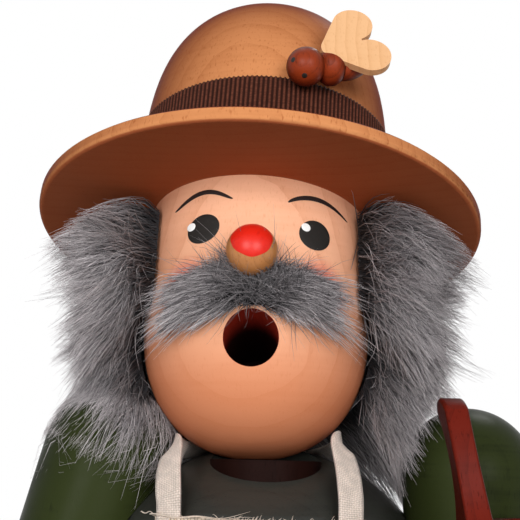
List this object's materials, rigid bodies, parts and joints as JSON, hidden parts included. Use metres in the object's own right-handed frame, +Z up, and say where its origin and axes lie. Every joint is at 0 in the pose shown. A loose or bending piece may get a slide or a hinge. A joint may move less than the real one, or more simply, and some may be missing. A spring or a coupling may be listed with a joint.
{
  "type": "incense smoker figure",
  "caption": "Turned wooden incense smoker: a bearded beekeeper in a tall hat with a wooden bee, linen apron and honey pail; the hollow upper half lifts off an incense plate.",
  "frame": {"origin": "centre of the round base's underside", "axes": "+Z up along the turned body's axis, the figure looks towards -Y, +X is the figure's own left hand side"},
  "size_m": [0.1446, 0.1106, 0.2985],
  "materials": {
    "base_wood": "dark green stain, satin varnish",
    "green_wood": "near-black green stain, gloss varnish",
    "sleeve_wood": "translucent green stain over turned wood, satin varnish",
    "trouser_wood": "brown stain, satin varnish",
    "boot_wood": "dark brown stain, gloss varnish",
    "collar_wood": "dark red-brown paint, satin",
    "skin_wood": "flesh-coloured stain, satin, with painted eyes, brows and cheeks",
    "nose_wood": "brown varnish with a red cap",
    "hat_wood": "light brown stain, satin varnish",
    "ribbon": "dark brown ribbed ribbon",
    "bee_wood": "dark red-brown varnish",
    "plain_wood": "bare pale wood",
    "pail_wood": "red-brown varnish",
    "fur": "grey long-haired fur",
    "linen": "coarse natural linen",
    "tape": "off-white cotton tape",
    "plate_metal": "pressed brass",
    "steel": "bright steel"
  },
  "bodies": {
    "lower": {"base_disc": "base_wood", "boot_left": "boot_wood", "boot_right": "boot_wood", "leg_left": "trouser_wood", "leg_right": "trouser_wood", "hip_block": "trouser_wood", "leg_dowels": "plain_wood", "incense_plate": "plate_metal", "plate_nail": "steel"},
    "upper": {"torso": "green_wood", "neck_ring": "collar_wood", "head": "skin_wood", "nose": "nose_wood", "hair": "fur", "moustache": "fur", "hat_brim": "hat_wood", "hat_crown": "hat_wood", "hat_ribbon": "ribbon", "hat_dowel": "plain_wood", "bee_head": "bee_wood", "bee_thorax": "bee_wood", "bee_tail": "bee_wood", "bee_core": "steel", "bee_wings": "plain_wood", "wing_pin": "steel", "arm_right": "sleeve_wood", "hand_right": "skin_wood", "arm_left": "sleeve_wood", "forearm_left": "sleeve_wood", "hand_left": "skin_wood", "arm_dowels": "plain_wood", "pail": "pail_wood", "pail_handle": "pail_wood", "apron": "linen", "neck_tape": "tape", "waist_tape": "tape", "apron_bow": "tape"}
  },
  "joints": [
    {"name": "torso_lift", "type": "slide", "parent": "lower", "child": "upper", "axis": [0, 0, 1], "range_m": [0, 0.08]}
  ]
}
